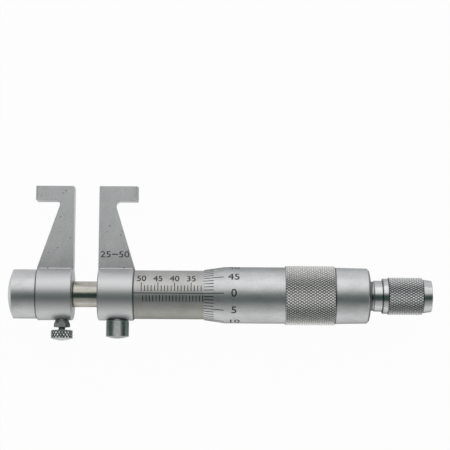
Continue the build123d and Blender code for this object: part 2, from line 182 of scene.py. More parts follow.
def lay(piece, place):
    """Puts a piece in its place and leaves its object at the origin."""
    grab(piece)
    piece.matrix_world = place
    bpy.ops.object.transform_apply(location=True, rotation=True, scale=True)


def draw(outline):
    """A new mesh with a line through the (x, radius) points, left in edit mode with all of it selected."""
    clear()
    bpy.ops.mesh.primitive_plane_add(size=1)
    piece = bpy.context.object
    bpy.ops.object.mode_set(mode="EDIT")
    bpy.ops.mesh.select_mode(type="VERT")
    bpy.ops.mesh.select_all(action="SELECT")
    bpy.ops.mesh.merge(type="CENTER")
    bpy.ops.transform.translate(value=(outline[0][0], 0, outline[0][1]))
    for (x, radius), (next_x, next_radius) in zip(outline, outline[1:]):
        step = (next_x - x, 0, next_radius - radius)
        bpy.ops.mesh.extrude_region_move(TRANSFORM_OT_translate={"value": step})
    bpy.ops.mesh.select_all(action="SELECT")
    return piece


def turn(name, outline, segments):
    """A closed piece turned about the spindle's axis from the (x, radius) points of its section."""
    piece = draw(outline)
    bpy.ops.mesh.spin(steps=segments, angle=2 * math.pi, center=(0, 0, 0), axis=(1, 0, 0))
    bpy.ops.mesh.select_all(action="SELECT")
    bpy.ops.mesh.remove_doubles(threshold=0.002)
    bpy.ops.mesh.normals_make_consistent(inside=False)
    bpy.ops.object.mode_set(mode="OBJECT")
    piece.name = name
    piece.data.name = name
    return piece


def with_rings(outline, start, end, radius, rings):
    """The outline with the rings of a knurl put in between start and end."""
    step = (end - start) / rings
    points = []
    for point in outline:
        points.append(point)
        if point == (start, radius):
            points += [(start + step * n, radius) for n in range(1, rings)]
    return points


def choose(piece, test):
    """Selects the vertices of a piece that pass the test and starts to edit it."""
    grab(piece)
    mesh = piece.data
    for part in (mesh.polygons, mesh.edges):
        part.foreach_set("select", [False] * len(part))
    mesh.vertices.foreach_set("select", [test(vertex.co) for vertex in mesh.vertices])
    bpy.ops.object.mode_set(mode="EDIT")
    bpy.ops.mesh.select_mode(type="VERT")


def turn_knurled(name, outline, start, end, radius, rings, diamonds, depth):
    """A turned piece with a knurl: a grid with every other corner pressed in, which leaves small pyramids."""
    segments = 2 * diamonds
    piece = turn(name, with_rings(outline, start, end, radius, rings), segments)
    step = (end - start) / rings
    pitch = 2 * math.pi / segments
    slack = 0.01

    def on_grid(place, lowest):
        return start - slack < place.x < end + slack and math.hypot(place.y, place.z) > lowest - slack

    def pressed(place):
        ring = round((place.x - start) / step)
        corner = round(math.atan2(place.y, place.z) / pitch)
        return on_grid(place, radius) and (ring + corner) % 2 == 1

    choose(piece, pressed)
    drop = (radius - depth) / radius
    bpy.ops.transform.resize(value=(1, drop, drop), center_override=(0, 0, 0))
    bpy.ops.object.mode_set(mode="OBJECT")
    choose(piece, lambda place: on_grid(place, radius - depth - slack))
    bpy.ops.mesh.quads_convert_to_tris(quad_method="SHORTEST_DIAGONAL")
    bpy.ops.object.mode_set(mode="OBJECT")
    return piece


def paint(piece, *finishes):
    """Gives a piece its finishes, the first of them all over."""
    piece.data.materials.clear()
    for finish in finishes:
        piece.data.materials.append(bpy.data.materials[finish])


def paint_knurl(piece):
    """Gives the second finish of a hollow piece to its knurl, which has its only triangles."""
    for face in piece.data.polygons:
        if len(face.vertices) == 3:
            face.material_index = 1


def smooth(piece, degrees):
    """Shades a piece smooth up to the edges that turn by more than this."""
    grab(piece)
    bpy.ops.object.shade_smooth_by_angle(angle=math.radians(degrees))


def join(name, pieces):
    """Joins pieces into one of this name."""
    grab(*pieces)
    bpy.ops.object.join()
    piece = bpy.context.object
    piece.name = name
    piece.data.name = name
    return piece


# Finishes

class Nodes:
    """A tree of shader nodes under construction. Its steps take sockets or plain values and give sockets."""

    spacing = 220

    def __init__(self, tree):
        self.tree = tree
        tree.nodes.clear()

    def node(self, kind, **values):
        """A new node, to the right of the others, with its sockets and options set."""
        node = self.tree.nodes.new(kind)
        node.location = (self.spacing * len(self.tree.nodes), 0)
        for key, value in values.items():
            if key in node.inputs:
                self.feed(node.inputs[key], value)
            else:
                setattr(node, key, value)
        return node

    def feed(self, socket, value):
        """Links a socket to another one or gives it a plain value."""
        if isinstance(value, bpy.types.NodeSocket):
            self.tree.links.new(value, socket)
        else:
            socket.default_value = value

    def number(self, operation, *values):
        """A number worked out from others."""
        node = self.node("ShaderNodeMath", operation=operation)
        for socket, value in zip(node.inputs, values):
            self.feed(socket, value)
        return node.outputs["Value"]

    def vector(self, operation, *values, output="Vector"):
        """A vector or colour worked out from others."""
        node = self.node("ShaderNodeVectorMath", operation=operation)
        for socket, value in zip(node.inputs, values):
            self.feed(socket, value)
        return node.outputs[output]

    def scaled(self, tone, factor):
        """The tone made darker or lighter by a factor."""
        node = self.node("ShaderNodeVectorMath", operation="SCALE", Vector=tone, Scale=factor)
        return node.outputs["Vector"]

    def split(self, place):
        """The X, Y and Z of a place."""
        return self.node("ShaderNodeSeparateXYZ", Vector=place).outputs

    def apart(self, value, centre):
        """How far a value is from a centre, either way."""
        return self.number("ABSOLUTE", self.number("SUBTRACT", value, centre))

    def between(self, value, low, high, to_low=0, to_high=1):
        """Maps the range from low to high to another one and stops at its ends."""
        node = self.node("ShaderNodeMapRange", Value=value)
        limits = {"From Min": low, "From Max": high, "To Min": to_low, "To Max": to_high}
        for socket, limit in limits.items():
            node.inputs[socket].default_value = limit
        return node.outputs["Result"]

    def ramp(self, value, stops):
        """Turns a value into colours between the given (position, colour) stops."""
        node = self.node("ShaderNodeValToRGB", Fac=value)
        ends = node.color_ramp.elements
        while len(ends) < len(stops):
            ends.new(0.5)
        for end, (position, colour) in zip(ends, stops):
            end.position = position
            end.color = (*colour[:3], 1)
        return node.outputs["Color"]

    def mixed(self, factor, first, second):
        """A colour that goes from the first to the second as the factor goes from 0 to 1."""
        node = self.node("ShaderNodeMix", data_type="RGBA", Factor=factor)
        first_colour, second_colour, mixed_colour = node.inputs[6], node.inputs[7], node.outputs[2]
        self.feed(first_colour, first)
        self.feed(second_colour, second)
        return mixed_colour

    def show(self, output, factor, first, second):
        """Sends a mix of two shaders to an output, the first shader where the factor is 0."""
        mix = self.node("ShaderNodeMixShader", Fac=factor)
        self.feed(mix.inputs[1], first.outputs[0])
        self.feed(mix.inputs[2], second.outputs[0])
        self.node(output, Surface=mix.outputs[0])


class Finish(Nodes):
    """A metal finish under construction."""

    def __init__(self, name, colour, roughness, metallic=1):
        material = bpy.data.materials.get(name) or bpy.data.materials.new(name)
        material.use_nodes = True
        material.diffuse_color = colour
        super().__init__(material.node_tree)
        self.shader = self.node("ShaderNodeBsdfPrincipled", Metallic=metallic, Roughness=roughness)
        self.set("Base Color", colour)
        self.node("ShaderNodeOutputMaterial", Surface=self.shader.outputs["BSDF"])

    def set(self, socket, value):
        """Feeds a socket of the finish's shader."""
        self.feed(self.shader.inputs[socket], value)

    def place(self):
        """Where a point lies along the tool's own axes, in millimetres."""
        back = TOOL_MM.inverted()
        coordinates = self.node("ShaderNodeTexCoord")
        mapping = self.node(
            "ShaderNodeMapping", Vector=coordinates.outputs["Object"], Location=back.translation,
            Rotation=back.to_euler(), Scale=(1 / MM, 1 / MM, 1 / MM))
        return mapping.outputs["Vector"]

    def normal(self):
        """The way the surface faces."""
        return self.node("ShaderNodeNewGeometry").outputs["Normal"]

    def noise(self, place, scale, squeeze=(1, 1, 1), detail=4):
        """A cloudy pattern, squeezed along each axis."""
        squeezed = self.vector("MULTIPLY", place, squeeze)
        noise = self.node("ShaderNodeTexNoise", Vector=squeezed, Scale=scale, Detail=detail, Roughness=0.6)
        return noise.outputs["Fac"]

    def patches(self, pattern, colour, dark, light, low=0.3, high=0.7):
        """The colour in patches, from dark to light times as bright as it is."""
        return self.ramp(pattern, ((low, shade(colour, dark)), (high, shade(colour, light))))

    def mottled(self, tone, place, amount):
        """The tone with the fine speckle of a satin surface."""
        speckle = self.noise(place, 2.2, detail=3)
        return self.scaled(tone, self.between(speckle, 0.3, 0.7, 1 - amount, 1 + amount))

    def tinted(self, tone, amount, low, high):
        """The tone times a colour that goes from low to high as the amount goes from 0 to 1."""
        return self.vector("MULTIPLY", tone, self.ramp(amount, ((0, low), (1, high))))

    def seams(self, place, joints):
        """A factor that darkens thin lines round the axis at the joints with the next pieces."""
        core, width, darkest = 0.12, 0.3, 0.35
        along = self.split(place)["X"]
        nearest = self.apart(along, joints[0])
        for joint in joints[1:]:
            nearest = self.number("MINIMUM", nearest, self.apart(along, joint))
        return self.between(nearest, core, width, darkest, 1)

    def worn_edges(self, radius, darkest):
        """Shades the sharp edges as broken by this radius in mm and gives a factor that paints shade along
        them.
        """
        edges = self.node("ShaderNodeBevel", samples=8, Radius=radius * MM).outputs["Normal"]
        self.set("Normal", edges)
        match = self.vector("DOT_PRODUCT", edges, self.normal(), output="Value")
        return self.between(match, 0.8, 0.985, darkest, 1)

    def spread(self, axis, amount):
        """Spreads the reflections along an axis, as fine turning marks round it do."""
        self.set("Tangent", self.vector("CROSS_PRODUCT", self.normal(), axis))
        self.set("Anisotropic", amount)
        self.set("Anisotropic Rotation", 0.25)

    def dull_edge(self, amount):
        """Dulls the metal's gloss at a glancing angle."""
        self.set("Specular Tint", (amount, amount, amount, 1))

    def gloss(self, pattern, smoothest, roughest, low=0.3, high=0.7):
        """Varies the gloss by a pattern, which counts from low to high."""
        self.set("Roughness", self.between(pattern, low, high, smoothest, roughest))

    def raised(self, pattern, height):
        """Raises the surface by a pattern, to this height in mm."""
        bump = self.node("ShaderNodeBump", Strength=1, Distance=height * MM, Height=pattern)
        normal = self.shader.inputs["Normal"]
        if normal.is_linked:
            self.feed(bump.inputs["Normal"], normal.links[0].from_socket)
        self.feed(normal, bump.outputs["Normal"])


def shade(colour, amount):
    """The same colour, lighter or darker."""
    return tuple(channel * amount for channel in colour[:3]) + (1,)


def turned_finish(
        name, colour, roughness, rings, ring_height, joints, patchy=0.08, edge=0.7, painted_underside_shade=None):
    """Metal turned or ground on a lathe, with fine rings, dark joints and faint handling marks."""
    finish = Finish(name, colour, roughness)
    place = finish.place()
    lines = finish.noise(place, rings, (1, 0.02, 0.02), detail=3)
    marks = finish.noise(place, 0.35, (0.6, 1, 1), detail=5)
    tone = finish.patches(marks, colour, 1 - patchy, 1 + patchy / 2, 0.35, 0.62)
    tone = finish.mottled(tone, place, 0.05)
    tone = finish.scaled(tone, finish.seams(place, joints))
    # Painted shade: below the axis the colour is tinted darker, towards the given colour.
    if painted_underside_shade:
        above = finish.between(finish.split(place)["Y"], -4, -2)
        tone = finish.tinted(tone, above, painted_underside_shade, (1, 1, 1, 1))
    finish.set("Base Color", tone)
    finish.dull_edge(edge)
    finish.gloss(lines, roughness - 0.04, roughness + 0.06)
    finish.raised(lines, ring_height)


def knurl_finish(name, colour, radius, depth, groove=0.2, wear=0.25, centre=(0, 0, 0), across=(0, 1, 1)):
    """Knurled metal with painted highlights on its worn points and painted shade in grooves that take up this
    part of the depth.
    """
    finish = Finish(name, colour, 0.42)
    outward = finish.vector("MULTIPLY", finish.vector("SUBTRACT", finish.place(), centre), across)
    reach = finish.vector("LENGTH", outward, output="Value")
    rise = finish.between(reach, radius - depth, radius)
    # Painted shade and highlight: the colour runs from near black at the bottom of the grooves to brighter
    # than the metal on the points.
    finish.set("Base Color", finish.ramp(rise, (
        (0, shade(colour, 0.12)), (groove, shade(colour, 0.5)),
        (groove + 0.2, shade(colour, 1.35)), (1, shade(colour, 1.6)),
    )))
    laid = finish.node(
        "ShaderNodeMapping", vector_type="NORMAL", Vector=outward, Rotation=TOOL.to_euler())
    turned = finish.node(
        "ShaderNodeVectorTransform", vector_type="NORMAL", convert_from="OBJECT", convert_to="WORLD",
        Vector=laid.outputs["Vector"])
    worn = finish.vector("MULTIPLY_ADD", turned.outputs["Vector"], (wear, wear, wear), finish.normal())
    finish.set("Normal", finish.vector("NORMALIZE", worn))


def jaw_finish(name, jaw, hub):
    """Chrome on the hubs and grained satin steel on the jaws, with painted shade near the hub and a few
    specks.
    """
    hub_radius, soft = 8.0, 0.02
    finish = Finish(name, jaw, 0.4)
    place = finish.place()
    radius = finish.vector("LENGTH", finish.vector("MULTIPLY", place, (0, 1, 1)), output="Value")
    on_jaw = finish.between(radius, hub_radius - soft, hub_radius + soft)
    tone = finish.patches(finish.noise(place, 0.22, (1, 0.6, 1)), jaw, 0.93, 1.05)
    tone = finish.mottled(tone, place, 0.07)
    # Painted shade: the jaw darkens towards its foot at the hub.
    tone = finish.scaled(tone, finish.between(finish.split(place)["Y"], hub_radius, 15, 0.8, 1))
    specks = finish.node("ShaderNodeTexVoronoi", Vector=place, Scale=0.45, Randomness=1)
    tone = finish.scaled(tone, finish.between(specks.outputs["Distance"], 0.06, 0.12, 0.35, 1))
    chrome = finish.scaled(hub[:3], finish.seams(place, (CAP_JOINT, SLEEVE_JOINT)))
    tone = finish.mixed(on_jaw, chrome, tone)
    # Painted shade along the sharp edges darkens the colour there.
    finish.set("Base Color", finish.scaled(tone, finish.worn_edges(0.08, 0.75)))
    finish.dull_edge(0.75)
    finish.gloss(on_jaw, 0.43, 0.5, low=0, high=1)
    finish.raised(finish.noise(place, 9, detail=6), 0.004)


def plain_finish(name, colour, roughness, metallic=1, turned_about=None, painted_flank_shade=None, painted_reflection_below=None):
    """A fine-grained finish for the small pieces.

    turned_about is the axis of their turning marks; the flank colour paints shade on what faces along the
    spindle and light elsewhere. Below the given height the piece is pale and matt, a painted reflection.
    """
    finish = Finish(name, colour, roughness, metallic)
    if turned_about:
        finish.spread(turned_about, 0.95)
    place = finish.place()
    tone = finish.patches(finish.noise(place, 0.8, detail=3), colour, 0.88, 1.08)
    # Painted shade on the faces along the spindle and painted light on those that face across it.
    if painted_flank_shade:
        facing = finish.split(finish.vector("ABSOLUTE", finish.normal()))["X"]
        tone = finish.tinted(tone, finish.between(facing, 0.25, 0.8), shade((1, 1, 1), 1.13), painted_flank_shade)
    # Painted reflection: below this height the colour turns pale and the metal matt, standing in for the
    # bright floor mirrored there.
    if painted_reflection_below:
        above = finish.between(finish.split(place)["Y"], painted_reflection_below - 0.1, painted_reflection_below)
        finish.set("Metallic", above)
        tone = finish.mixed(above, (0.8, 0.8, 0.8, 1), tone)
    finish.set("Base Color", tone)
    grain = finish.noise(place, 6, detail=5)
    finish.gloss(grain, roughness - 0.04, roughness + 0.05)
    finish.raised(grain, 0.003)


class MICROMETER_OT_finishes(bpy.types.Operator):
    """Makes the metal finishes and puts them on the pieces of the frame"""
    bl_idname = "micrometer.finishes"
    bl_label = "Finishes"

    def execute(self, context):
        colours = context.scene.micrometer_finish
        chrome = tuple(colours.chrome)
        dark = tuple(colours.dark)
        turned_finish(
            "satin chrome", chrome, roughness=0.39, rings=9, ring_height=0.0003, joints=(71.95, 82.1),
            edge=0.6)
        turned_finish(
            "cap chrome", chrome, roughness=0.39, rings=9, ring_height=0.0003, joints=(CAP_JOINT,),
            edge=0.95)
        turned_finish(
            "sleeve chrome", tuple(colours.sleeve), roughness=0.43, rings=9, ring_height=0.0005,
            joints=(SLEEVE_JOINT,), painted_underside_shade=(0.75, 0.755, 0.71, 1))
        turned_finish(
            "ground steel", tuple(colours.ground), roughness=0.15, rings=7, ring_height=0.0012,
            joints=(-7.6,), patchy=0.14)
        turned_finish(
            "ratchet steel", shade(chrome, 0.95), roughness=0.2, rings=11, ring_height=0.002,
            joints=(83.0, 83.25, 86.35, 88.1, 98.6))
        knurl = context.scene.micrometer_knurl
        knurl_finish("thimble knurl", tuple(colours.knurl), THIMBLE_GRIP, knurl.thimble_depth)
        knurl_finish("knob knurl", shade(chrome, 0.8), KNOB_GRIP, knurl.knob_depth)
        knurl_finish(
            "clamp knurl", shade(dark, 1.12), CLAMP_GRIP, knurl.clamp_depth, groove=0.3, wear=0.3,
            centre=(CLAMP_PLACE, 0, 0), across=(1, 0, 1))
        jaw_finish("jaw steel", tuple(colours.jaw), chrome)
        plain_finish(
            "dark steel", dark, 0.39, turned_about=tuple(TOOL.col[1][:3]), painted_flank_shade=(0.44, 0.53, 0.5, 1),
            painted_reflection_below=-12.75)
        plain_finish("bush steel", shade(dark, 0.75), 0.33, painted_flank_shade=(0.49, 0.52, 0.5, 1))
        # Painted shade: a nearly black steel for the clamp screw's neck between the bush and the head.
        plain_finish("steel with painted neck shade", (0.2, 0.21, 0.195, 1), 0.35)
        # Painted reflection: a pale, half-matt steel for the dome under the clamp screw's head.
        plain_finish("steel with painted reflection", (0.85, 0.85, 0.85, 1), 0.5, metallic=0.5)
        plain_finish("spring steel", (0.3, 0.3, 0.3, 1), 0.3)
        plain_finish("carbide", (0.66, 0.66, 0.665, 1), 0.5, metallic=0.5)
        plain_finish("brass", (0.6, 0.42, 0.16, 1), 0.3)
        plain_finish("ink", tuple(context.scene.micrometer_scale.ink), 0.5, metallic=0)
        self.dress_frame()
        return {"FINISHED"}

    def dress_frame(self):
        """Gives each piece of the frame the finish of its slot, apart from four with one of their own."""
        finish_of_slot = {
            "satin_steel": "jaw steel",
            "satin_chrome": "satin chrome",
            "ground_steel": "ground steel",
            "carbide": "carbide",
            "dark_steel": "dark steel",
            "spring_steel": "spring steel",
            "brass": "brass",
        }
        finish_of_piece = {
            "sleeve": "sleeve chrome",
            "end_cap": "cap chrome",
            "ratchet_base": "ratchet steel",
            "clamp_bush": "bush steel",
        }
        for name, piece in frame["nodes"].items():
            for place in piece.material_slots:
                slot = place.material.name.split(".")[0]
                finish = finish_of_piece.get(name, finish_of_slot[slot])
                place.link = "OBJECT"
                place.material = bpy.data.materials[finish]


# Lines and figures

def strip(outline, steps, start, angle):
    """A strip swept from the outline round the spindle's axis, from a start through an angle."""
    piece = draw(outline)
    bpy.ops.mesh.spin(steps=steps, angle=angle, center=(0, 0, 0), axis=(1, 0, 0))
    bpy.ops.object.mode_set(mode="OBJECT")
    piece.rotation_euler.x = start
    bpy.ops.object.transform_apply(location=False, rotation=True, scale=False)
    return piece


def line_along(outline, steps, width):
    """A line of this width that follows the outline, with its middle at the index."""
    radius = outline[0][1]
    return strip(outline, steps, width / 2 / radius, width / radius)


def line_round(x, radius, start, end, width):
    """A line round a cylinder from one arc length to another, in mm from the index."""
    outline = [(x - width / 2, radius), (x + width / 2, radius)]
    return strip(outline, 6, -start / radius, (end - start) / radius)


def copies(piece, places):
    """Copies of a piece, one for each (along, turned) pair, in its stead."""
    made = []
    for along, turned in places:
        grab(piece)
        bpy.ops.object.duplicate()
        copy = bpy.context.object
        lay(copy, Matrix.Translation((along, 0, 0)) @ Matrix.Rotation(turned, 4, "X"))
        made.append(copy)
    bpy.data.objects.remove(piece)
    return made


def drop_short_steps(piece, least):
    """Takes out an outline's steps that are shorter than this, which would cross in a bolder figure."""
    bpy.ops.object.mode_set(mode="EDIT")
    bpy.ops.curve.select_all(action="DESELECT")
    for spline in piece.data.splines:
        points = list(spline.bezier_points)
        for point, following in zip(points, points[1:]):
            if (following.co - point.co).length < least:
                point.select_control_point = True
    bpy.ops.curve.dissolve_verts()
    bpy.ops.object.mode_set(mode="OBJECT")


def figure(text, x, arc, radius, height, width, weight):
    """A flat word on a cylinder, upright when the jaws point up, cut into strips so that it can bend."""
    font_share = 0.73
    strip_height = height / 9
    clear()
    bpy.ops.object.text_add()
    words = bpy.context.object.data
    words.body = text
    words.align_x = "CENTER"
    words.align_y = "CENTER"
    words.resolution_u = 3
    words.size = height / font_share
    bpy.ops.object.convert(target="CURVE")
    piece = bpy.context.object
    drop_short_steps(piece, height / 100)
    piece.data.offset = weight * height
    bpy.ops.object.convert(target="MESH")
    piece = bpy.context.object
    bpy.ops.object.mode_set(mode="EDIT")
    for n in range(-5, 6):
        bpy.ops.mesh.select_all(action="SELECT")
        bpy.ops.mesh.bisect(plane_co=(0, n * strip_height, 0), plane_no=(0, 1, 0))
    bpy.ops.object.mode_set(mode="OBJECT")
    turned = arc / radius
    place = Matrix.Translation((x, radius * math.sin(turned), radius * math.cos(turned)))
    lay(piece, TOOL_MM @ place @ Matrix.Rotation(-turned, 4, "X") @ Matrix.Diagonal((width, 1, 1, 1)))
    return piece


def wrap(piece, surface):
    """Lays a flat piece just above the surface that carries it."""
    lift = 0.012
    grab(piece)
    shrink = piece.modifiers.new("Wrap", "SHRINKWRAP")
    shrink.target = surface
    shrink.wrap_method = "NEAREST_SURFACEPOINT"
    shrink.wrap_mode = "ABOVE_SURFACE"
    shrink.offset = lift * MM
    bpy.ops.object.modifier_apply(modifier="Wrap")


class MICROMETER_OT_main_scale(bpy.types.Operator):
    """Rules the main scale on the sleeve, with its index line and figures"""
    bl_idname = "micrometer.main_scale"
    bl_label = "Main scale"

    def execute(self, context):
        scale = context.scene.micrometer_scale
        surface = scale.sleeve_radius + INK_LIFT
        first = scale.first_line
        longest, span, index_end = 50, 25, 43.5
        fives = range(0, span + 1, 5)
        millimetres = [n for n in range(span + 1) if n % 5]
        halves = [n + 0.5 for n in range(span)]
        index = [(SLEEVE_JOINT + 0.2, surface), (index_end, surface)]
        lines = [line_along(index, 2, scale.line_width)]
        for start, end, marks in ((0.6, 2.4, millimetres), (0.6, 3.35, fives), (-2.6, -0.65, halves)):
            line = line_round(first, surface, start, end, scale.line_width)
            lines += copies(line, [(n, 0) for n in marks])
        rule = join("main_scale_lines", lines)
        lay(rule, TOOL_MM)
        paint(rule, "ink")
        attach(rule, "fixed_side")
        words = []
        for n in fives:
            words.append(figure(
                str(longest - n), first + n, 4.75, scale.sleeve_radius, scale.sleeve_figures,
                width=0.91, weight=0.016))
        figures = join("main_scale_figures", words)
        wrap(figures, frame["nodes"]["sleeve"])
        paint(figures, "ink")
        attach(figures, "fixed_side")
        return {"FINISHED"}


class MICROMETER_OT_range_mark(bpy.types.Operator):
    """Marks the measuring range on the fixed jaw"""
    bl_idname = "micrometer.range_mark"
    bl_label = "Range mark"

    def execute(self, context):
        height = context.scene.micrometer_scale.range_figures
        front = 2.6
        words = [
            figure("25", -2.75, 0, front, height, width=1.28, weight=0),
            figure("—", 0, 0.25, front, height, width=0.68, weight=0.03),
            figure("50", 2.8, 0, front, height, width=1.28, weight=0),
        ]
        mark = join("range_mark", words)
        middle = Vector((4.95, 11.95, 0)) * MM
        lay(mark, TOOL @ Matrix.Translation(middle) @ TOOL.inverted())
        wrap(mark, frame["nodes"]["fixed_jaw"])
        paint(mark, "ink")
        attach(mark, "fixed_side")
        return {"FINISHED"}


# Turned pieces with knurls

class MICROMETER_OT_thimble(bpy.types.Operator):
    """Turns the thimble, presses its knurl and rules its divisions and figures"""
    bl_idname = "micrometer.thimble"
    bl_label = "Thimble"

    def execute(self, context):
        knurl = context.scene.micrometer_knurl
        scale = context.scene.micrometer_scale
        left, bevel_end, start, end, right = 32.15, 38.4, 57.0, 71.6, 82.85
        bore, lip, body, grip = 7.46, 7.65, 8.58, THIMBLE_GRIP
        outline = [
            (left, bore), (left, lip), (bevel_end, body), (56.7, body), (start, grip), (end, grip),
            (71.9, body), (81.65, 8.38), (82.25, 7.7), (82.4, 7.1), (right, 4.7), (right, 2.42),
            (81.62, 2.42), (81.62, 4.02), (74.0, 4.42), (74.0, bore), (left, bore),
        ]
        thimble = turn_knurled(
            "thimble_shell", outline, start, end, grip, rings=22, diamonds=knurl.thimble_diamonds,
            depth=knurl.thimble_depth)
        lay(thimble, TOOL_MM)
        paint(thimble, "satin chrome", "thimble knurl")
        paint_knurl(thimble)
        smooth(thimble, 16)
        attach(thimble, "screw")
        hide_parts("thimble")

        slope = math.atan2(body - lip, bevel_end - left)
        pitch = 2 * math.pi / scale.divisions
        fives = range(0, scale.divisions, 5)
        short = self.division(left, lip, 2.95, slope, scale.line_width)
        long = self.division(left, lip, 6.05, slope, scale.line_width)
        lines = copies(short, [(0, pitch * n) for n in range(scale.divisions) if n % 5])
        lines += copies(long, [(0, pitch * n) for n in fives])
        rule = join("thimble_divisions", lines)
        lay(rule, TOOL_MM)
        paint(rule, "ink")
        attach(rule, "screw")
        words = []
        for n in fives:
            word = figure(str(n), 41.25, 0, body, scale.thimble_figures, width=1.08, weight=0.014)
            lay(word, TOOL_MM @ Matrix.Rotation(pitch * n, 4, "X") @ TOOL_MM.inverted())
            words.append(word)
        figures = join("thimble_figures", words)
        wrap(figures, thimble)
        paint(figures, "ink")
        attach(figures, "screw")
        return {"FINISHED"}

    def division(self, left, lip, length, slope, width):
        """One line up the thimble's bevel, from just inside its left edge."""
        inset = 0.05
        x = left + inset
        radius = lip + inset * math.tan(slope) + INK_LIFT
        far_end = (x + length * math.cos(slope), radius + length * math.sin(slope))
        return line_along([(x, radius), far_end], 1, width)


class MICROMETER_OT_ratchet_knob(bpy.types.Operator):
    """Turns the ratchet knob and presses its knurl"""
    bl_idname = "micrometer.ratchet_knob"
    bl_label = "Ratchet knob"

    def execute(self, context):
        knurl = context.scene.micrometer_knurl
        left, start, end, right = 86.35, 88.3, 98.35, 101.575
        axle, bore, collar, grip = 1.35, 4.1, 5.33, KNOB_GRIP
        outline = [
            (left, bore), (left, 5.25), (86.43, collar), (88.05, collar), (start, grip), (end, grip),
            (98.6, 5.15), (101.2, 4.75), (101.35, 4.62), (right, 2.85), (right, 2.35), (100.1, 2.35),
            (100.1, axle), (94.35, axle), (94.35, bore), (left, bore),
        ]
        knob = turn_knurled(
            "ratchet_grip", outline, start, end, grip, rings=14, diamonds=knurl.knob_diamonds,
            depth=knurl.knob_depth)
        lay(knob, TOOL_MM)
        paint(knob, "ratchet steel", "knob knurl")
        paint_knurl(knob)
        smooth(knob, 16)
        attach(knob, "ratchet")
        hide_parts("ratchet_knob")
        return {"FINISHED"}


class MICROMETER_OT_clamp_screw(bpy.types.Operator):
    """Turns the clamp screw and presses the knurl on its head"""
    bl_idname = "micrometer.clamp_screw"
    bl_label = "Clamp screw"

    def execute(self, context):
        knurl = context.scene.micrometer_knurl
        tip, top, start, end, bottom = 4.7, 10.95, 11.1, 13.3, 13.5
        shank, grip = 1.05, CLAMP_GRIP
        outline = [
            (tip, 0), (tip, 0.85), (4.9, shank), (top, shank), (top, 2.95), (start, grip), (end, grip),
            (bottom, 3.1), (13.75, 2.35), (13.98, 1.45), (14.08, 0.7), (14.12, 0),
        ]
        screw = turn_knurled(
            "clamp_knob", outline, start, end, grip, rings=3, diamonds=knurl.clamp_diamonds,
            depth=knurl.clamp_depth)
        paint(screw, "dark steel", "clamp knurl", "steel with painted neck shade", "steel with painted reflection")
        for face in screw.data.polygons:
            # Painted reflection: the dome under the head is pale.
            if face.center.x > bottom:
                face.material_index = 3
            elif len(face.vertices) == 3:
                face.material_index = 1
            # Painted shade: the neck between the bush and the head is dark.
            elif face.center.x < top:
                face.material_index = 2
        hang = Matrix.Translation((CLAMP_PLACE, 0, 0)) @ Matrix.Rotation(-math.pi / 2, 4, "Z")
        lay(screw, TOOL_MM @ hang)
        smooth(screw, 22)
        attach(screw, "clamp")
        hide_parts("clamp_screw")
        return {"FINISHED"}


# Floor, lights and camera

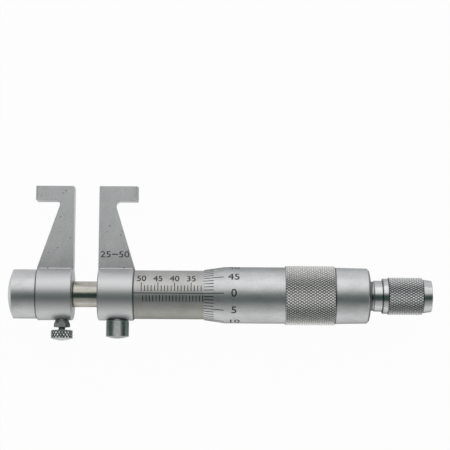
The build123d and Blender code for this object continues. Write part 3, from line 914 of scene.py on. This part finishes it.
class MICROMETER_OT_studio(bpy.types.Operator):
    """Sets up the pale floor, the soft lights and the camera"""
    bl_idname = "micrometer.studio"
    bl_label = "Studio"

    def execute(self, context):
        studio = context.scene.micrometer_studio
        self.lay_floor(tuple(studio.floor))
        self.light_world(studio.world)
        self.hang_softbox("softbox_far", math.radians(49), 0.58, studio.softbox)
        self.hang_softbox("softbox_near", math.radians(-81), 0.2, studio.fill)
        self.stand_camera(studio.camera_distance)
        context.scene.view_settings.view_transform = "Standard"
        return {"FINISHED"}

    def lay_floor(self, colour):
        """A pale floor that the camera and the metal see as white, with a trace of the object's real shadow
        and, for the metal, a painted one.
        """
        clear()
        bpy.ops.mesh.primitive_plane_add(size=4, location=(0, 0, 0))
        floor = bpy.context.object
        floor.name = "studio_floor"
        bpy.ops.object.mode_set(mode="EDIT")
        bpy.ops.mesh.subdivide(number_cuts=3)
        bpy.ops.object.mode_set(mode="OBJECT")
        material = bpy.data.materials.new("pale floor")
        material.use_nodes = True
        nodes = Nodes(material.node_tree)
        rays = nodes.node("ShaderNodeLightPath").outputs
        seen = nodes.number("MULTIPLY", rays["Is Camera Ray"], 0.97)
        bounced = nodes.number("MAXIMUM", rays["Is Glossy Ray"], rays["Is Transmission Ray"])
        mirrored = nodes.number("MULTIPLY", bounced, 0.9)
        cloth = nodes.node("ShaderNodeBsdfDiffuse", Color=colour)
        # For glossy rays the emission carries the painted shadow.
        white = nodes.node("ShaderNodeEmission", Color=self.mirrored_tone(nodes, rays["Is Glossy Ray"]))
        nodes.show("ShaderNodeOutputMaterial", nodes.number("MAXIMUM", seen, mirrored), cloth, white)
        floor.data.materials.append(material)

    def mirrored_tone(self, nodes, glossy):
        """White, but for a painted shadow of the tool that only the metal sees, left out at the gap by the
        tube.
        """
        thimble_middle, thimble_reach, tool_reach, tube = 0.0135, 0.014, 0.062, -0.041
        place = nodes.split(nodes.node("ShaderNodeTexCoord").outputs["Object"])
        across = nodes.between(place["Y"], -0.1, 0.1)
        behind_thimble = nodes.ramp(across, (
            (0.0, (1, 1, 0.99)), (0.33, (1, 1, 0.98)), (0.36, (0.9, 0.9, 0.88)), (0.39, (0.3, 0.3, 0.29)),
            (0.43, (0.2, 0.21, 0.2)), (0.46, (0.8, 0.8, 0.8)), (0.53, (0.7, 0.7, 0.7)),
            (0.57, (0.42, 0.43, 0.43)), (0.6, (0.6, 0.61, 0.62)), (0.64, (0.84, 0.85, 0.86)),
            (0.7, (0.94, 0.95, 0.96)), (1.0, (0.97, 0.97, 0.98)),
        ))
        elsewhere = nodes.ramp(across, (
            (0.0, (1, 1, 0.99)), (0.27, (1, 1, 0.98)), (0.34, (0.9, 0.9, 0.88)), (0.39, (0.4, 0.4, 0.39)),
            (0.43, (0.25, 0.26, 0.25)), (0.46, (0.8, 0.8, 0.8)), (0.54, (0.85, 0.85, 0.86)),
            (0.57, (0.8, 0.81, 0.82)), (0.6, (0.86, 0.87, 0.88)), (0.64, (0.93, 0.94, 0.95)),
            (0.7, (0.97, 0.97, 0.98)), (1.0, (0.98, 0.98, 0.99)),
        ))
        from_thimble = nodes.apart(place["X"], thimble_middle)
        past_thimble = nodes.between(from_thimble, thimble_reach, thimble_reach + 0.01)
        shadow = nodes.mixed(past_thimble, behind_thimble, elsewhere)
        by_tool = nodes.between(nodes.apart(place["X"], 0), tool_reach + 0.013, tool_reach)
        off_tube = nodes.between(nodes.apart(place["X"], tube), 0.003, 0.0045)
        shaded = nodes.number("MULTIPLY", glossy, nodes.number("MULTIPLY", by_tool, off_tube))
        return nodes.mixed(shaded, (1, 1, 1, 1), shadow)

    def light_world(self, strength):
        """A light tent that is dark straight above, where the camera looks through it."""
        world = bpy.data.worlds.new("light tent")
        bpy.context.scene.world = world
        world.use_nodes = True
        nodes = Nodes(world.node_tree)
        aim = nodes.node("ShaderNodeTexCoord").outputs["Generated"]
        drawn_in = nodes.vector("NORMALIZE", nodes.vector("MULTIPLY", aim, (0.5, 1, 1)))
        lean = math.radians(6.5)
        top = (0, -math.sin(lean), math.cos(lean))
        height = nodes.vector("DOT_PRODUCT", drawn_in, top, output="Value")
        over = nodes.ramp(height, (
            (0.0, (0.95, 0.95, 0.96)), (0.17, (0.9, 0.9, 0.91)), (0.5, (0.75, 0.75, 0.75)),
            (0.77, (0.58, 0.58, 0.57)), (0.9, (0.435, 0.445, 0.44)), (0.955, (0.068, 0.106, 0.098)),
            (1.0, (0.05, 0.082, 0.075)),
        ))
        ends = nodes.ramp(nodes.number("ABSOLUTE", nodes.split(aim)["X"]), (
            (0.0, (1, 1, 1)), (0.35, (0.95, 0.95, 0.95)), (0.55, (0.49, 0.52, 0.51)),
            (0.7, (0.18, 0.23, 0.22)), (1.0, (0.07, 0.11, 0.1)),
        ))
        light = nodes.vector("MULTIPLY", over, ends)
        tent = nodes.node("ShaderNodeBackground", Color=light, Strength=strength)
        surround = nodes.node("ShaderNodeBackground", Color=(0.97, 0.97, 0.97, 1))
        seen = nodes.node("ShaderNodeLightPath").outputs["Is Camera Ray"]
        nodes.show("ShaderNodeOutputWorld", seen, tent, surround)

    def hang_softbox(self, name, tilt, height, power):
        """A long softbox beside the tool, tilted by this angle from straight above towards the jaws' tips."""
        distance = 0.6
        length = 0.9
        place = (0, distance * math.sin(tilt), distance * math.cos(tilt))
        clear()
        bpy.ops.object.light_add(type="AREA", location=place, rotation=(-tilt, 0, 0))
        lamp = bpy.context.object
        lamp.name = name
        lamp.data.shape = "RECTANGLE"
        lamp.data.size = length
        lamp.data.size_y = height
        lamp.data.energy = power

    def stand_camera(self, distance):
        """A long lens nearly straight above, a little towards the foot of the jaws."""
        tip = math.radians(6.7)
        twist = math.radians(0.37)
        aim_x, aim_y, view_width, sensor = 38.4, 21.4, 137.2, 36
        along = Vector((1, 0, 0))
        up = Vector((0, math.cos(tip), math.sin(tip)))
        back = Vector((0, -math.sin(tip), math.cos(tip)))
        side = along * math.cos(twist) + up * math.sin(twist)
        top = up * math.cos(twist) - along * math.sin(twist)
        place = Matrix((side, top, back)).transposed().to_4x4()
        place.translation = along * aim_x * MM + up * aim_y * MM + back * distance
        clear()
        bpy.ops.object.camera_add()
        camera = bpy.context.object
        camera.matrix_world = TOOL @ place
        camera.data.sensor_width = sensor
        camera.data.lens = sensor * distance / (view_width * MM)
        bpy.context.scene.camera = camera


class MICROMETER_PT_panel(bpy.types.Panel):
    """The micrometer's pieces and settings"""
    bl_label = "Inside Micrometer"
    bl_space_type = "VIEW_3D"
    bl_region_type = "UI"
    bl_category = "Micrometer"

    def draw(self, context):
        for piece in pieces:
            self.layout.operator(piece.bl_idname)
        for group, name, label in settings:
            box = self.layout.box()
            box.label(text=label)
            for value in group.__annotations__:
                box.prop(getattr(context.scene, name), value)


pieces = (
    MICROMETER_OT_finishes,
    MICROMETER_OT_main_scale,
    MICROMETER_OT_range_mark,
    MICROMETER_OT_thimble,
    MICROMETER_OT_ratchet_knob,
    MICROMETER_OT_clamp_screw,
    MICROMETER_OT_studio,
)
settings = (
    (ScaleSettings, "micrometer_scale", "Scale lines and figures"),
    (KnurlSettings, "micrometer_knurl", "Knurls"),
    (FinishSettings, "micrometer_finish", "Colours of the finishes"),
    (StudioSettings, "micrometer_studio", "Floor, lights and camera"),
)


def register():
    for group, name, label in settings:
        bpy.utils.register_class(group)
        setattr(bpy.types.Scene, name, bpy.props.PointerProperty(type=group, name=label))
    for piece in pieces:
        bpy.utils.register_class(piece)
    bpy.utils.register_class(MICROMETER_PT_panel)


def unregister():
    bpy.utils.unregister_class(MICROMETER_PT_panel)
    for piece in reversed(pieces):
        bpy.utils.unregister_class(piece)
    for group, name, _ in reversed(settings):
        delattr(bpy.types.Scene, name)
        bpy.utils.unregister_class(group)


def main():
    register()
    bpy.ops.micrometer.finishes()
    bpy.ops.micrometer.main_scale()
    bpy.ops.micrometer.range_mark()
    bpy.ops.micrometer.thimble()
    bpy.ops.micrometer.ratchet_knob()
    bpy.ops.micrometer.clamp_screw()
    bpy.ops.micrometer.studio()


if __name__ == "__main__":
    main()
